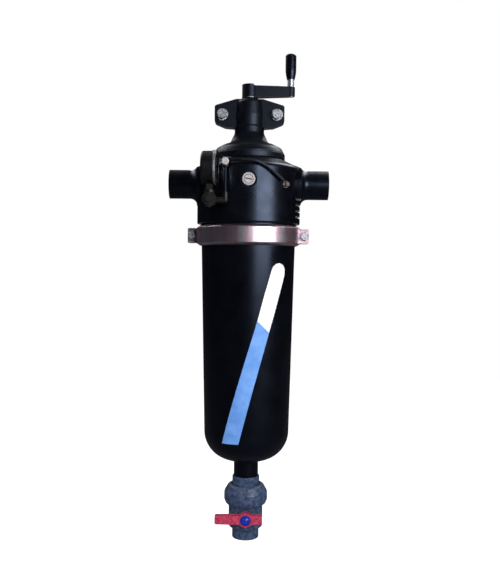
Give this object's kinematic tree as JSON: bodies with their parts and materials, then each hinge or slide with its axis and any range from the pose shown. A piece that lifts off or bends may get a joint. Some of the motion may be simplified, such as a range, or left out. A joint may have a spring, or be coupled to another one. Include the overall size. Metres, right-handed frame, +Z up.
{
  "type": "screen filter",
  "caption": "In-line water screen filter: ported head, long clamped bowl, hand-cranked suction scanner, gauge and a union ball valve on its drain.",
  "frame": {"origin": "centre of the drain valve's mouth, the lowest point on the vessel axis", "axes": "+Z up the vessel axis, +X along the ports from inlet to outlet, the bolts, gauge and valve handle face -Y"},
  "size_m": [0.33, 0.2645, 1.0136],
  "materials": {
    "black_plastic": "glossy moulded polyamide",
    "pvc": "blue-grey satin PVC",
    "red_plastic": "glossy red ABS",
    "blue_plastic": "glossy blue ABS",
    "stainless": "polished stainless steel strip",
    "zinc_steel": "zinc-plated steel",
    "steel_pin": "ground steel",
    "screen_steel": "woven stainless steel",
    "grey_plastic": "light grey acetal",
    "white_plastic": "white acetal",
    "seal_rubber": "black nitrile rubber",
    "bronze": "machined bronze",
    "brass": "dull brass",
    "dial_white": "white printed dial",
    "clear": "clear window",
    "tube_black": "black polyethylene tube"
  },
  "bodies": {
    "vessel": {"valve_body": "pvc", "ball_seats": "white_plastic", "seat_carrier": "pvc", "union_seal": "seal_rubber", "union_tail": "pvc", "union_nut": "pvc", "bowl": "black_plastic", "body_seal": "seal_rubber", "clamp_front_half": "stainless", "clamp_rear_half": "stainless", "clamp_bolts": "zinc_steel", "clamp_nuts": "zinc_steel", "head": "black_plastic", "front_plug": "grey_plastic", "bonnet": "black_plastic", "bonnet_seal": "seal_rubber", "feed_nut": "bronze", "drive_seals": "seal_rubber", "drive_bush": "white_plastic", "drive_housing_front": "black_plastic", "drive_housing_rear": "black_plastic", "housing_washers": "zinc_steel", "housing_bolts": "zinc_steel", "housing_nuts": "zinc_steel", "standpipe": "black_plastic", "scanner_bush": "white_plastic", "screen_cage": "black_plastic", "screen_mesh": "screen_steel", "screen_end_cap": "black_plastic", "screen_top_ring": "black_plastic", "screen_seal": "seal_rubber", "screen_socket": "black_plastic", "gauge_case": "black_plastic", "gauge_dial": "dial_white", "gauge_window": "clear", "gauge_bezel": "black_plastic", "selector_body": "black_plastic", "tube_tee": "grey_plastic", "short_tube": "tube_black", "long_tube": "tube_black", "tube_elbow": "brass"},
    "crank": {"crank_arm": "black_plastic", "drive_sleeve": "steel_pin", "crank_screw": "zinc_steel", "grip_spindle": "steel_pin"},
    "grip": {"grip": "black_plastic", "grip_cap": "black_plastic"},
    "scanner": {"scanner_shaft": "steel_pin", "suction_nozzles": "white_plastic"},
    "drain_valve": {"valve_handle": "red_plastic", "handle_cap": "blue_plastic", "valve_stem": "pvc", "stem_seals": "seal_rubber", "valve_ball": "white_plastic"},
    "needle": {"gauge_needle": "black_plastic"},
    "selector": {"selector_knob": "black_plastic"}
  },
  "joints": [
    {"name": "crank_turn", "type": "hinge", "parent": "vessel", "child": "crank", "pos_m": [0, 0, 0.9], "axis": [0, 0, 1], "range_deg": [0, 1440]},
    {"name": "scanner_feed", "type": "slide", "parent": "crank", "child": "scanner", "axis": [0, 0, 1], "range_m": [0, 0.064]},
    {"name": "grip_spin", "type": "hinge", "parent": "crank", "child": "grip", "pos_m": [0.085, 0, 0.98], "axis": [0, 0, 1], "continuous": true},
    {"name": "drain_valve_turn", "type": "hinge", "parent": "vessel", "child": "drain_valve", "pos_m": [0, 0, 0.054], "axis": [0, -1, 0], "range_deg": [0, 90]},
    {"name": "gauge_needle_turn", "type": "hinge", "parent": "vessel", "child": "needle", "pos_m": [-0.0754, -0.12212, 0.761], "axis": [-0.9976, 0.0698, 0], "range_deg": [0, 270], "stiffness_Nm_per_rad": 0.0005},
    {"name": "selector_turn", "type": "hinge", "parent": "vessel", "child": "selector", "pos_m": [-0.0754, -0.14, 0.7], "axis": [0, -1, 0], "range_deg": [-90, 90]}
  ],
  "couplings": [
    {"joint": "scanner_feed", "follows": "crank_turn", "m_per_rad": 0.0025465}
  ]
}
